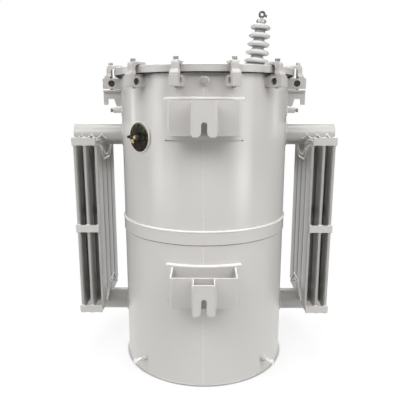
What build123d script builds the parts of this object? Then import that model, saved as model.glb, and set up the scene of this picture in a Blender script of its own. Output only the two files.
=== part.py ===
"""Pole-mounted distribution transformer with side radiators.

Millimetres. The origin is the centre of the base's underside, +Z is up and the pole brackets
face -Y. An angle called "bearing" is measured about the tank's axis from -Y towards +X.
"""
import os
from math import cos, radians, sin, sqrt, tan

from build123d import *

os.makedirs("parts", exist_ok=True)

# Tank
tank_radius = 337.0
tank_wall = 4.0
base_thickness = 6.0
tank_height = 1201.5          # underside of the base to the top of the rim flange
flange_thickness = 8.0
band_height = 50.0
band_thickness = 3.5
band_rise = 81.5              # from the lower bracket's pad to the band
band_gap = 2.5

# Lid
lid_overhang = 25.0           # from the tank's wall to the skirt's outer face
lid_thickness = 5.0
lid_skirt = 26.0
lid_crown = 26.0
lid_edge_fillet = 4.0
gasket_thickness = 6.0
skirt_clearance = 5.0

# Lid clamps
clamp_bearings = (-75.0, -41.5, -14.5, 15.5, 43.0, 75.0, 105.0, 135.0, 165.0, -165.0, -135.0, -105.0)
bolt_stand = 14.0             # from the skirt to the bolt's axis
block_beyond = 32.0           # from the bolt's axis to the block's end
block_width = 33.0
block_edge = 1.0
block_height = 38.0
block_drop = 11.5             # from the skirt's lower edge to the block
barrel_hole = 25.0
barrel_clearance = 0.3
barrel_recess = 6.0
barrel_edge = 3.0
bolt_diameter = 12.0
bolt_hole_clearance = 0.75
bolt_head_flats = 16.0
bolt_head_height = 7.5
bolt_washer_diameter = 19.0
bolt_washer_thickness = 1.5
bolt_tail = 5.0
jaw_beam = 12.5
jaw_grip = 33.0               # the jaw's toe, inward from the skirt
jaw_toe_round = 6.0
jaw_leg_start = 1.0           # these four from the bolt's axis outward
jaw_leg_end = 15.5
jaw_corner = 13.0
jaw_heel_start = 10.0
jaw_heel_end = 25.0
jaw_heel_height = 19.0
jaw_heel_edge = 2.0
jaw_top_width = 26.0
jaw_foot_width = 32.5
jaw_lid_clearance = 2.0

# Pole brackets
bracket_width = 240.0
bracket_height = 114.0
bracket_stand = 102.5         # from the tank's wall to the plate's outer face
bracket_plate = 6.0
bracket_bend = 7.0
bracket_drop = 225.5          # from the tank's top to the upper plate's lower edge
pad_width = 278.0
pad_thickness = 8.0
pad_below = 22.0
pad_above = 6.5
hook_width = 81.0
hook_stand = 66.5             # from the plate's face to the hook's
slot_width = 19.0
slot_spacing = 590.5          # between the closed ends of the two slots
upper_slot_length = 47.5
lower_slot_length = 63.0
slot_mouth_radius = 16.0
hook_corner = 9.0

# Filler plug
plug_drop = 45.5              # from the tank's top to the plug's axis
plug_boss_diameter = 32.0
plug_boss_reach = 12.0
plug_flats = 24.0
plug_hex_height = 13.0
plug_thread = 20.0

# Lifting lugs and side bosses
lug_thickness = 10.0
lug_stand = 78.0              # these six from the tank's wall outward
lug_drop = 67.5               # from the tank's top to the lugs' tops
lug_flange_width = 40.0
lug_flange_thickness = 6.0
lug_outer_depth = 59.0         # these three from the lug's top downward
lug_inner_depth = 66.0
lug_slot_depth = 35.5
lug_gusset = 22.0
slot_outer_stand = 60.0
slot_inner_stand = 35.0
slot_foot_stand = 27.0
leg_inner_stand = 12.0
lug_pad_width = 64.0
lug_pad_thickness = 4.0
lug_pad_depth = 104.0
side_boss_rise = 23.0         # from the lug pad's lower edge
side_boss_diameter = 23.0
side_boss_stand = 39.0

# Earth bosses
earth_bearing = 45.0
earth_height = 68.0
earth_boss_diameter = 24.0
earth_boss_stand = 21.0

# Bolts in the bosses
boss_bolt_diameter = 10.0
boss_bolt_flats = 16.0
boss_bolt_head = 7.0
boss_bolt_grip = 5.0
boss_bolt_depth = 14.0
earth_bolt_grip = 26.0

# Radiators
header_diameter = 88.9
header_wall = 4.0
header_length = 200.0         # from the tank's wall to the header's end
header_inside = 10.0
header_drop = 245.0           # from the tank's top to the upper header's axis
lower_header_height = 221.5
panel_steps = (83.5, 43.5, 38.5)    # from the tank's wall to the first panel, then on
panel_width = 336.0
panel_end_inset = 17.5        # header's axis to the panel's end
panel_seam = 3.0
panel_edge = 9.0
panel_thickness = 13.0
panel_press = 12.0            # height of the pressed edges above and below the flutes
flute_count = 4
groove_width = 13.0
dome_thickness = 21.0
dome_half_width = 118.0
dome_depth = 83.0             # from the panel's end to the point of its V
dome_side = 21.0
dome_slope = 60.0
tie_height = 29.0
tie_thickness = 5.0
tie_overhang = 8.0
tie_outside = 9.5

# High-voltage bushing
bushing_inset = 127.5         # from the tank's wall inward to the bushing
bushing_tilt = 6.0
bushing_seat_rise = 5.0
bushing_seat_diameter = 104.0
bushing_gasket = 3.0
bushing_shank = 58.0
bushing_shank_depth = 96.0
bushing_hole_clearance = 1.0
bushing_body = 50.0
bushing_neck = 43.0
shed_count = 5
shed_first = 14.0
shed_pitch = 32.7
shed_lower_diameter = 98.0
shed_upper_diameter = 81.0
shed_tip = 9.0
shed_slope = 6.0
porcelain_top = 162.0
rod_diameter = 12.0
rod_clearance = 0.8
rod_tail = 30.0               # below the porcelain
cap_diameter = 41.0
cap_height = 11.0
eye_diameter = 27.0
eye_bore = 12.5
eye_thickness = 13.0
eye_stem = 6.0
ring_groove_depth = 4.0
ring_thickness = 9.0
ring_drop = 16.0              # from the lid's underside to the clamp ring
ring_diameter = 92.0
ring_screws = 3
ring_screw_diameter = 8.0

# Tap changer
tap_bearing = -45.0
tap_drop = 242.5              # from the tank's top to the dial's middle
collar_diameter = 118.0
collar_wall = 2.5
collar_proud = 1.5
dial_clearance = 0.5
dial_proud = 6.0
dial_thickness = 22.0
dial_fillet = 9.0
spindle_diameter = 10.0
spindle_clearance = 0.05
grip_length = 92.0
grip_width = 17.0
grip_height = 9.0
grip_hub = 30.0
grip_gap = 0.3
grip_edge = 2.0
tap_nut_flats = 16.0
tap_nut_height = 7.0
lock_offset = 34.0
lock_screw = 9.0
lock_screw_height = 5.0
lock_knob = 11.0
lock_knob_height = 8.0
lock_knob_edge = 2.0
switch_diameter = 84.0
switch_depth = 62.0

# Low-voltage bushings and their spade terminals
lv_drop = 296.5               # from the tank's top to the bushings' axes
lv_spread = 32.0
lv_body = 78.0
lv_flange = 15.0
lv_shed = 74.0
lv_shed_gap = 15.0
lv_neck = 54.0
lv_reach = 60.0
lv_inside = 34.0
lv_hole_clearance = 1.0
lv_stud = 28.0
lv_stud_inside = 10.0
lv_nut_flats = 42.0
lv_nut_height = 16.0
spade_gap = 8.0               # from the nut to the blade
spade_length = 82.0
spade_width = 76.0
spade_thickness = 12.7
spade_corner = 6.0
spade_holes = 14.3
spade_pitch = 44.45
spade_end_distance = 38.0     # from the pattern's middle to the blade's end

# Core and coils
window_x = 140.0
window_y = 200.0
coil_height = 420.0
lv_coil_build = 40.0
coil_barrier = 5.0
hv_coil_build = 50.0
coil_gap = 2.0
core_build = 66.0
core_slack = 5.0
core_corner = 14.0
frame_leg = 46.0
frame_plate = 8.0
frame_rod = 14.0
frame_beyond = 15.0            # frame bars past the core on each side
lead_diameter = 10.0
lead_bend = 40.0
lead_start = 100.0            # from the coils' middle to the leads' first ends
lead_straight = 90.0
hv_lead_drop = 335.5          # from the tank's top to the lead's bend

# Values that follow from the sizes above
tank_bore = tank_radius - tank_wall
lid_radius = tank_radius + lid_overhang
clamp_bolt_circle = lid_radius + bolt_stand
block_reach = clamp_bolt_circle + block_beyond
jaw_toe = lid_radius - jaw_grip
jaw_leg_inner = clamp_bolt_circle + jaw_leg_start
jaw_leg_outer = clamp_bolt_circle + jaw_leg_end
jaw_heel_inner = clamp_bolt_circle + jaw_heel_start
jaw_heel_outer = clamp_bolt_circle + jaw_heel_end
bracket_face = tank_radius + bracket_stand
hook_face = bracket_face + hook_stand
lug_reach = tank_radius + lug_stand
lug_slot_outer = tank_radius + slot_outer_stand
lug_slot_inner = tank_radius + slot_inner_stand
lug_slot_foot = tank_radius + slot_foot_stand
lug_leg_inner = tank_radius + leg_inner_stand
side_boss_reach = tank_radius + side_boss_stand
earth_boss_reach = tank_radius + earth_boss_stand
header_reach = tank_radius + header_length
panel_places = [tank_radius + sum(panel_steps[:count]) for count in (1, 2, 3)]
bushing_offset = tank_radius - bushing_inset
lid_rim = tank_height + gasket_thickness + lid_thickness
skirt_bottom = lid_rim - lid_skirt
skirt_bore = lid_radius - lid_thickness
flange_radius = skirt_bore - skirt_clearance
block_top = skirt_bottom - block_drop
block_bottom = block_top - block_height
barrel_height = block_bottom + block_height / 2
jaw_top = lid_rim + jaw_beam
upper_header_height = tank_height - header_drop
upper_bracket_bottom = tank_height - bracket_drop
upper_slot_top = upper_bracket_bottom + upper_slot_length
lower_slot_top = upper_slot_top - slot_spacing
lower_bracket_bottom = lower_slot_top - lower_slot_length
band_bottom = lower_bracket_bottom + bracket_height + pad_above + band_rise
plug_height = tank_height - plug_drop
lug_top = tank_height - lug_drop
lug_outer_bottom = lug_top - lug_outer_depth
lug_inner_bottom = lug_top - lug_inner_depth
lug_slot_top = lug_top - lug_slot_depth
lug_pad_bottom = lug_top - lug_pad_depth
tap_height = tank_height - tap_drop
lv_height = tank_height - lv_drop
panel_bottom = lower_header_height + panel_end_inset
panel_top = upper_header_height - panel_end_inset
sides = {"left": -1, "right": 1}


def keep(piece, name):
    """Label a finished piece and write its STEP file."""
    piece.label = name
    export_step(piece, f"parts/{name}.step")


def outward(bearing, height, reach=0.0):
    """Plane facing away from the tank's axis at a bearing, with its Y axis upright."""
    out = Vector(sin(radians(bearing)), -cos(radians(bearing)), 0)
    return Plane(origin=out * reach + Vector(0, 0, height),
                 x_dir=(cos(radians(bearing)), sin(radians(bearing)), 0), z_dir=out)


# Tank: rolled wall with holes for the headers, the tap changer and the bushings
lv_bearings = [180.0 - lv_spread, 180.0, 180.0 + lv_spread]
with BuildPart() as tank_shell:
    with BuildSketch(Plane.XY.offset(base_thickness)):
        Circle(tank_radius)
        Circle(tank_bore, mode=Mode.SUBTRACT)
    extrude(amount=tank_height - base_thickness)
    for side in sides.values():
        for height in (lower_header_height, upper_header_height):
            with BuildSketch(outward(90 * side, height)):
                Circle(header_diameter / 2)
            extrude(amount=lid_radius, mode=Mode.SUBTRACT)
    with BuildSketch(outward(tap_bearing, tap_height)):
        Circle(collar_diameter / 2)
    extrude(amount=lid_radius, mode=Mode.SUBTRACT)
    with BuildSketch(outward(0, plug_height)):
        Circle(plug_boss_diameter / 2)
    extrude(amount=lid_radius, mode=Mode.SUBTRACT)
    for bearing in lv_bearings:
        with BuildSketch(outward(bearing, lv_height)):
            Circle(lv_neck / 2 + lv_hole_clearance)
        extrude(amount=lid_radius, mode=Mode.SUBTRACT)
keep(tank_shell.part, "tank_shell")

with BuildPart() as tank_base:
    with BuildSketch():
        Circle(tank_radius)
    extrude(amount=base_thickness)
keep(tank_base.part, "tank_base")

with BuildPart() as tank_flange:
    with BuildSketch(Plane.XY.offset(tank_height - flange_thickness)):
        Circle(flange_radius)
        Circle(tank_radius, mode=Mode.SUBTRACT)
    extrude(amount=flange_thickness)
keep(tank_flange.part, "tank_flange")

# Girth band: one strip round the tank, its ends a weld's width apart at the front
with BuildPart() as tank_band:
    with BuildSketch(Plane.XY.offset(band_bottom)):
        Circle(tank_radius + band_thickness)
        Circle(tank_radius, mode=Mode.SUBTRACT)
        with Locations((0, -tank_radius)):
            Rectangle(band_gap, 4 * band_thickness, mode=Mode.SUBTRACT)
    extrude(amount=band_height)
keep(tank_band.part, "tank_band")


# Lid: flat rim, shallow crown and turned-down skirt, with a tilted seat for the bushing
crown_start = tank_bore - skirt_clearance
crown_radius = (crown_start**2 + lid_crown**2) / (2 * lid_crown)


def crown_height(radius):
    """Top of the crowned lid at a distance from the tank's axis."""
    return lid_rim + lid_crown - crown_radius + sqrt(crown_radius**2 - radius**2)


bushing_seat = Plane(
    origin=(bushing_offset, 0, crown_height(bushing_offset) + bushing_seat_rise),
    x_dir=(cos(radians(bushing_tilt)), 0, -sin(radians(bushing_tilt))),
    z_dir=(sin(radians(bushing_tilt)), 0, cos(radians(bushing_tilt))))
bushing_half = Plane(origin=bushing_seat.origin, x_dir=bushing_seat.x_dir, z_dir=(0, -1, 0))
bushing_axis = Axis(bushing_seat.origin, bushing_seat.z_dir)
seat_block = bushing_seat_rise + 1.6 * lid_thickness

with BuildPart() as lid:
    with BuildSketch(Plane.XZ):
        with BuildLine():
            for drop in (0, lid_thickness):
                ThreePointArc((0, lid_rim + lid_crown - drop),
                              (crown_start / 2, crown_height(crown_start / 2) - drop),
                              (crown_start, lid_rim - drop))
            Polyline((crown_start, lid_rim), (lid_radius, lid_rim), (lid_radius, skirt_bottom),
                     (skirt_bore, skirt_bottom), (skirt_bore, lid_rim - lid_thickness),
                     (crown_start, lid_rim - lid_thickness))
            Line((0, lid_rim + lid_crown), (0, lid_rim + lid_crown - lid_thickness))
        make_face()
    revolve(axis=Axis.Z)
    rim = lid.edges().filter_by(GeomType.CIRCLE).filter_by(
        lambda edge: abs(edge.radius - lid_radius) < 0.01 and edge.center().Z > skirt_bottom + 1)
    fillet(rim, radius=lid_edge_fillet)
    with BuildSketch(bushing_seat):
        Circle(bushing_seat_diameter / 2)
    extrude(amount=-seat_block)
    with BuildSketch(bushing_seat):
        Circle(bushing_shank / 2 + bushing_hole_clearance)
    extrude(amount=-seat_block, mode=Mode.SUBTRACT)
keep(lid.part, "lid")

with BuildPart() as lid_gasket:
    with BuildSketch(Plane.XY.offset(tank_height)):
        Circle(flange_radius)
        Circle(tank_bore, mode=Mode.SUBTRACT)
    extrude(amount=gasket_thickness)
keep(lid_gasket.part, "lid_gasket")


# Lid clamps: the block is welded to the tank and its barrel nut lies in a cross hole, the jaw
# bridges from the block's end to the lid's rim and the bolt pulls it down between the two
clamp_places = Locations(*[Location((0, 0, 0), (0, 0, bearing)) for bearing in clamp_bearings])

with BuildPart() as block:
    with BuildSketch(Plane.XY.offset(block_bottom)):
        with Locations((0, -block_reach)):
            Rectangle(block_width, block_reach / 2, align=(Align.CENTER, Align.MIN))
        Circle(tank_radius, mode=Mode.SUBTRACT)
    extrude(amount=block_height)
    chamfer(block.faces().sort_by(Axis.Y)[0].edges(), length=block_edge)
    with BuildSketch(Plane.YZ):
        with Locations((-clamp_bolt_circle, barrel_height)):
            Circle(barrel_hole / 2)
    extrude(amount=block_width, both=True, mode=Mode.SUBTRACT)
    with BuildSketch(Plane.XY.offset(block_bottom)):
        with Locations((0, -clamp_bolt_circle)):
            Circle(bolt_diameter / 2 + bolt_hole_clearance)
    extrude(amount=block_height, mode=Mode.SUBTRACT)
with BuildPart() as clamp_blocks:
    with clamp_places:
        add(block.part)
keep(clamp_blocks.part, "clamp_blocks")

with BuildPart() as barrel:
    with BuildSketch(Plane.YZ):
        with Locations((-clamp_bolt_circle, barrel_height)):
            Circle(barrel_hole / 2 - barrel_clearance)
    extrude(amount=block_width / 2 - barrel_recess, both=True)
    chamfer(barrel.edges().filter_by(GeomType.CIRCLE), length=barrel_edge)
    with BuildSketch(Plane.XY.offset(block_bottom)):
        with Locations((0, -clamp_bolt_circle)):
            Circle(bolt_diameter / 2)
    extrude(amount=block_height, mode=Mode.SUBTRACT)
with BuildPart() as clamp_barrels:
    with clamp_places:
        add(barrel.part)
keep(clamp_barrels.part, "clamp_barrels")

with BuildPart() as clamp_bolt:
    with BuildSketch(Plane.XY.offset(block_bottom - bolt_tail)):
        with Locations((0, -clamp_bolt_circle)):
            Circle(bolt_diameter / 2)
    extrude(amount=jaw_top - block_bottom + bolt_tail)
    with BuildSketch(Plane.XY.offset(jaw_top)):
        with Locations((0, -clamp_bolt_circle)):
            Circle(bolt_washer_diameter / 2)
    extrude(amount=bolt_washer_thickness)
    with BuildSketch(Plane.XY.offset(jaw_top + bolt_washer_thickness)):
        with Locations((0, -clamp_bolt_circle)):
            RegularPolygon(bolt_head_flats / 2, 6, major_radius=False)
    extrude(amount=bolt_head_height)
with BuildPart() as clamp_bolts:
    with clamp_places:
        add(clamp_bolt.part)
keep(clamp_bolts.part, "clamp_bolts")

with BuildPart() as jaw:
    with BuildSketch(Plane.YZ):
        with BuildLine():
            leg_top = jaw_top - jaw_corner
            heel_top = block_top + jaw_heel_height
            arch_low, arch_top = lid_rim - jaw_leg_inner + lid_radius, lid_rim + jaw_lid_clearance
            bridge = lid_radius + jaw_lid_clearance
            Polyline((-jaw_leg_outer, leg_top), (-jaw_leg_outer, heel_top),
                     (-jaw_heel_outer, block_top + jaw_heel_height / 3),
                     (-jaw_heel_outer, block_top + jaw_heel_edge),
                     (jaw_heel_edge - jaw_heel_outer, block_top), (-jaw_heel_inner, block_top),
                     (-jaw_leg_inner, block_top + jaw_heel_inner - jaw_leg_inner),
                     (-jaw_leg_inner, arch_low))
            ThreePointArc((-jaw_leg_inner, arch_low),
                          (-bridge - 0.71 * (jaw_leg_inner - bridge),
                           arch_low + 0.71 * (arch_top - arch_low)), (-bridge, arch_top))
            Polyline((-bridge, arch_top), (-lid_radius + 8, arch_top), (-lid_radius + 12, lid_rim),
                     (-jaw_toe, lid_rim), (-jaw_toe, jaw_top - jaw_toe_round))
            RadiusArc((-jaw_toe, jaw_top - jaw_toe_round), (-jaw_toe - jaw_toe_round, jaw_top),
                      -jaw_toe_round)
            Line((-jaw_toe - jaw_toe_round, jaw_top), (-jaw_leg_outer + jaw_corner, jaw_top))
            RadiusArc((-jaw_leg_outer + jaw_corner, jaw_top), (-jaw_leg_outer, leg_top), -jaw_corner)
        make_face()
    extrude(amount=jaw_foot_width / 2, both=True)
    with BuildSketch(Plane.XZ):
        with BuildLine():
            Polyline((-jaw_foot_width / 2, block_top), (jaw_foot_width / 2, block_top),
                     (jaw_foot_width / 2, block_top + jaw_heel_height / 3),
                     (jaw_top_width / 2, heel_top), (jaw_top_width / 2, jaw_top - 3),
                     (jaw_top_width / 2 - 3, jaw_top), (3 - jaw_top_width / 2, jaw_top),
                     (-jaw_top_width / 2, jaw_top - 3), (-jaw_top_width / 2, heel_top),
                     (-jaw_foot_width / 2, block_top + jaw_heel_height / 3), close=True)
        make_face()
    extrude(amount=block_reach, mode=Mode.INTERSECT)
    with BuildSketch(Plane.XY.offset(block_top)):
        with Locations((0, -clamp_bolt_circle)):
            Circle(bolt_diameter / 2 + bolt_hole_clearance)
    extrude(amount=jaw_top - block_top, mode=Mode.SUBTRACT)
with BuildPart() as clamp_jaws:
    with clamp_places:
        add(jaw.part)
keep(clamp_jaws.part, "clamp_jaws")


# Pole brackets: curved pad, folded plate and folded hook with a slot that is open below
pad_radius = tank_radius + pad_thickness
brackets = {"upper": (upper_bracket_bottom, upper_slot_top),
            "lower": (lower_bracket_bottom, lower_slot_top)}
for place, (bottom, slot_top) in brackets.items():
    with BuildPart() as pad:
        with BuildSketch(Plane.XY.offset(bottom - pad_below)):
            Circle(pad_radius)
            Circle(tank_radius, mode=Mode.SUBTRACT)
            with Locations((0, -tank_radius)):
                Rectangle(pad_width, tank_radius, mode=Mode.INTERSECT)
        extrude(amount=pad_below + bracket_height + pad_above)
    keep(pad.part, f"{place}_pad")

    with BuildPart() as bracket:
        with BuildSketch(Plane.XY.offset(bottom)):
            with Locations((0, -bracket_face)):
                Rectangle(bracket_width, bracket_face, align=(Align.CENTER, Align.MIN))
            fillet(vertices().group_by(Axis.Y)[0], radius=bracket_bend)
            with Locations((0, bracket_plate - bracket_face)):
                Rectangle(bracket_width - 2 * bracket_plate, bracket_face,
                          align=(Align.CENTER, Align.MIN), mode=Mode.SUBTRACT)
            Circle(pad_radius, mode=Mode.SUBTRACT)
        extrude(amount=bracket_height)
    keep(bracket.part, f"{place}_bracket")

    with BuildPart() as hook:
        with BuildSketch(Plane.XY.offset(bottom)):
            with Locations((0, -hook_face)):
                Rectangle(hook_width, hook_face - bracket_face, align=(Align.CENTER, Align.MIN))
            fillet(vertices().group_by(Axis.Y)[0], radius=bracket_bend)
            with Locations((0, bracket_plate - hook_face)):
                Rectangle(hook_width - 2 * bracket_plate, hook_face - bracket_face,
                          align=(Align.CENTER, Align.MIN), mode=Mode.SUBTRACT)
        extrude(amount=bracket_height)
        with BuildSketch(Plane.XZ.offset(hook_face - 2 * bracket_plate)):
            with Locations((0, slot_top - slot_width / 2)):
                Circle(slot_width / 2)
            with Locations((0, slot_top - slot_width / 2)):
                Rectangle(slot_width, slot_top - slot_width / 2 - bottom,
                          align=(Align.CENTER, Align.MAX))
        extrude(amount=3 * bracket_plate, mode=Mode.SUBTRACT)
        mouth = hook.edges().filter_by(Axis.Y).group_by(Axis.Z)[0].filter_by(
            lambda edge: abs(edge.center().X) < slot_width)
        fillet(mouth, radius=slot_mouth_radius)
        with BuildSketch(Plane.XZ.offset(hook_face)):
            with Locations((0, bottom)):
                Rectangle(hook_width, bracket_height, align=(Align.CENTER, Align.MIN))
            fillet(vertices().group_by(Axis.Z)[0], radius=hook_corner)
        extrude(amount=-hook_face, mode=Mode.INTERSECT)
    keep(hook.part, f"{place}_hook")


# Filler plug
with BuildPart() as filler_boss:
    with BuildSketch(outward(0, plug_height, tank_bore)):
        Circle(plug_boss_diameter / 2)
        Circle(plug_thread / 2, mode=Mode.SUBTRACT)
    extrude(amount=tank_wall + plug_boss_reach)
    chamfer(filler_boss.faces().sort_by(Axis.Y)[0].outer_wire().edges(), length=2)
keep(filler_boss.part, "filler_boss")

with BuildPart() as filler_plug:
    with BuildSketch(outward(0, plug_height, tank_bore)):
        Circle(plug_thread / 2)
    extrude(amount=tank_wall + plug_boss_reach)
    with BuildSketch(outward(0, plug_height, tank_radius + plug_boss_reach)):
        RegularPolygon(plug_flats / 2, 6, major_radius=False, rotation=30)
    extrude(amount=plug_hex_height)
    chamfer(filler_plug.faces().sort_by(Axis.Y)[0].edges(), length=1.2)
keep(filler_plug.part, "filler_plug")


# Lifting lugs: slotted web under a flange plate, welded to a curved pad
lug_seat = tank_radius + lug_pad_thickness
with BuildPart() as lug_pads:
    with BuildSketch(Plane.XY.offset(lug_pad_bottom)):
        Circle(lug_seat)
        Circle(tank_radius, mode=Mode.SUBTRACT)
        Rectangle(3 * tank_radius, lug_pad_width, mode=Mode.INTERSECT)
    extrude(amount=lug_top - lug_pad_bottom)
keep(lug_pads.part, "lug_pads")

for name, side in sides.items():
    with BuildPart() as lug:
        with BuildSketch(Plane.XZ):
            with BuildLine():
                Polyline((side * tank_bore, lug_top), (side * lug_reach, lug_top),
                         (side * lug_reach, lug_outer_bottom),
                         (side * (lug_slot_outer + 2), lug_outer_bottom),
                         (side * lug_slot_outer, lug_slot_top), (side * lug_slot_inner, lug_slot_top),
                         (side * lug_slot_foot, lug_inner_bottom + 3),
                         (side * (lug_slot_foot - 3), lug_inner_bottom),
                         (side * lug_leg_inner, lug_inner_bottom),
                         (side * tank_bore, lug_inner_bottom + lug_gusset), close=True)
            make_face()
            slot = vertices().filter_by(lambda v: abs(v.Z - lug_slot_top) < 0.01)
            fillet(slot, radius=6)
        extrude(amount=lug_thickness / 2, both=True)
        with BuildSketch(Plane.XY.offset(lug_top)):
            with Locations((side * (tank_bore + lug_reach) / 2, 0)):
                Rectangle(lug_reach - tank_bore, lug_flange_width)
            corners = vertices().filter_by(lambda v: abs(v.X) > lug_reach - 0.01)
            fillet(corners, radius=8)
        extrude(amount=-lug_flange_thickness)
        with Locations((0, 0, lug_top)):
            Cylinder(lug_seat, lug_top, mode=Mode.SUBTRACT)
    keep(lug.part, f"lug_{name}")


# Threaded bosses: one below each lug and two for the earth connection, each with a bolt
boss_rows = [(90.0, lug_pad_bottom + side_boss_rise, lug_seat, side_boss_reach, side_boss_diameter),
             (earth_bearing, earth_height, tank_radius, earth_boss_reach, earth_boss_diameter)]
with BuildPart() as bosses:
    for bearing, height, seat, reach, diameter in boss_rows:
        for side in sides.values():
            with BuildSketch(outward(side * bearing, height, tank_bore)):
                Circle(diameter / 2)
            extrude(amount=reach - tank_bore)
            with BuildSketch(outward(side * bearing, height, reach)):
                Circle(boss_bolt_diameter / 2)
            extrude(amount=-boss_bolt_depth, mode=Mode.SUBTRACT)
        with Locations((0, 0, height)):
            Cylinder(seat, 2 * diameter, mode=Mode.SUBTRACT)
keep(bosses.part, "bosses")

with BuildPart() as boss_bolts:
    for row, grip in zip(boss_rows, (boss_bolt_grip, earth_bolt_grip)):
        bearing, height, seat, reach, diameter = row
        for side in sides.values():
            with BuildSketch(outward(side * bearing, height, reach - boss_bolt_depth)):
                Circle(boss_bolt_diameter / 2)
            extrude(amount=boss_bolt_depth + grip)
            with BuildSketch(outward(side * bearing, height, reach + grip)):
                RegularPolygon(boss_bolt_flats / 2, 6, major_radius=False)
            extrude(amount=boss_bolt_head)
keep(boss_bolts.part, "boss_bolts")


# Radiators: two header pipes a side, pressed panels saddled between them, flat tie bars
for name, side in sides.items():
    for place, height in (("upper", upper_header_height), ("lower", lower_header_height)):
        start = tank_bore - header_inside
        with BuildPart() as header:
            with BuildSketch(outward(90 * side, height, start)):
                Circle(header_diameter / 2)
            extrude(amount=header_reach - start)
            fillet(header.faces().sort_by(Axis.X)[min(0, -side)].edges(), radius=3)
            with BuildSketch(outward(90 * side, height, start)):
                Circle(header_diameter / 2 - header_wall)
            extrude(amount=header_reach - header_wall - start, mode=Mode.SUBTRACT)
        keep(header.part, f"header_{place}_{name}")

flute = panel_width / flute_count
seam, crest = panel_seam / 2, panel_thickness / 2
flank = groove_width / 2
with BuildPart() as panel:
    with BuildSketch(Plane.XY.offset(panel_bottom)):
        with BuildLine():
            for face in (-1, 1):
                for index in range(flute_count):
                    start = index * flute - panel_width / 2
                    first = panel_edge / 2 if index == 0 else seam
                    last = panel_edge / 2 if index == flute_count - 1 else seam
                    rise, fall = start + flank, start + flute - flank
                    Line((face * first, start), (face * (crest - 1), rise))
                    ThreePointArc((face * (crest - 1), rise), (face * crest, start + flute / 2),
                                  (face * (crest - 1), fall))
                    Line((face * (crest - 1), fall), (face * last, start + flute))
            for end in (-1, 1):
                Line((-panel_edge / 2, end * panel_width / 2), (panel_edge / 2, end * panel_width / 2))
        make_face()
    extrude(amount=panel_top - panel_bottom)
    for height, up in ((panel_bottom, 1), (panel_top, -1)):
        for face in (-1, 1):
            with BuildSketch(Plane.XZ):
                with BuildLine():
                    Polyline((face * seam, height), (face * panel_thickness, height),
                             (face * panel_thickness, height + up * 3 * panel_press),
                             (face * seam, height + up * panel_press), close=True)
                make_face()
            extrude(amount=panel_width, both=True, mode=Mode.SUBTRACT)
            with BuildSketch(Plane(origin=(face * seam, 0, height), x_dir=(0, face, 0),
                                   z_dir=(face, 0, 0))):
                Polygon((-dome_half_width, up * 2), (dome_half_width, up * 2),
                        (dome_half_width, up * dome_side), (0, up * dome_depth),
                        (-dome_half_width, up * dome_side), align=None)
            extrude(amount=dome_thickness / 2 - seam, taper=dome_slope)
    for height in (lower_header_height, upper_header_height):
        with BuildSketch(Plane.YZ):
            with Locations((0, height)):
                Circle(header_diameter / 2)
        extrude(amount=dome_thickness, both=True, mode=Mode.SUBTRACT)
for name, side in sides.items():
    for index, distance in enumerate(panel_places):
        with BuildPart() as placed:
            with Locations((side * distance, 0, 0)):
                add(panel.part)
        keep(placed.part, f"panel_{name}_{index + 1}")

tie_inner = panel_places[0]
tie_outer = panel_places[-1] + tie_outside
tie_heights = [panel_bottom - tie_overhang + tie_height / 2, (panel_bottom + panel_top) / 2,
               panel_top + 1.5 * tie_overhang - tie_height / 2]
for name, side in sides.items():
    with BuildPart() as ties:
        for height in tie_heights:
            for end in (-1, 1):
                with Locations((side * (tie_inner + tie_outer) / 2,
                                end * (panel_width + tie_thickness) / 2, height)):
                    Box(tie_outer - tie_inner, tie_thickness, tie_height)
    keep(ties.part, f"ties_{name}")


# High-voltage bushing, built in the tilted plane of its seat
base = bushing_gasket
with BuildPart() as hv_gasket:
    with BuildSketch(bushing_seat):
        Circle(bushing_seat_diameter / 2 - 4)
        Circle(bushing_shank / 2 + bushing_hole_clearance, mode=Mode.SUBTRACT)
    extrude(amount=bushing_gasket)
keep(hv_gasket.part, "hv_gasket")

ring_top = -seat_block - ring_drop
groove = bushing_shank / 2 - ring_groove_depth
with BuildPart() as hv_porcelain:
    with BuildSketch(bushing_half):
        with BuildLine():
            shoulder = bushing_seat_diameter / 2 - 6
            Polyline((rod_diameter / 2 + rod_clearance, base - bushing_shank_depth),
                     (bushing_shank / 2, base - bushing_shank_depth),
                     (bushing_shank / 2, ring_top - ring_thickness),
                     (groove, ring_top - ring_thickness), (groove, ring_top),
                     (bushing_shank / 2, ring_top), (bushing_shank / 2, base), (shoulder, base),
                     (shoulder, base + 1), (bushing_body / 2, base + 1.5))
            last = (bushing_body / 2, base + 1.5)
            for index in range(shed_count):
                share = index / (shed_count - 1)
                tip = (shed_lower_diameter + share * (shed_upper_diameter - shed_lower_diameter)) / 2
                core = (bushing_body + share * (bushing_neck - bushing_body)) / 2
                height = base + shed_first + index * shed_pitch
                under = (core, height - shed_slope / 2 - shed_tip)
                lower, upper = (tip - shed_tip, height - shed_tip), (tip - shed_tip, height + shed_tip)
                over = (core, height + shed_slope + shed_tip)
                Polyline(last, under, lower)
                ThreePointArc(lower, (tip, height), upper)
                Line(upper, over)
                last = over
            Polyline(last, (bushing_neck / 2, base + porcelain_top - 1.5),
                     (bushing_neck / 2 - 1.5, base + porcelain_top),
                     (rod_diameter / 2 + rod_clearance, base + porcelain_top),
                     (rod_diameter / 2 + rod_clearance, base - bushing_shank_depth))
        make_face()
    revolve(axis=bushing_axis)
keep(hv_porcelain.part, "hv_porcelain")

with BuildPart() as hv_ring:
    with BuildSketch(bushing_seat.offset(ring_top)):
        Circle(ring_diameter / 2)
        Circle(groove, mode=Mode.SUBTRACT)
        with PolarLocations((ring_diameter + bushing_shank) / 4, ring_screws):
            Circle(ring_screw_diameter / 2, mode=Mode.SUBTRACT)
    extrude(amount=-ring_thickness)
keep(hv_ring.part, "hv_ring")

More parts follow.
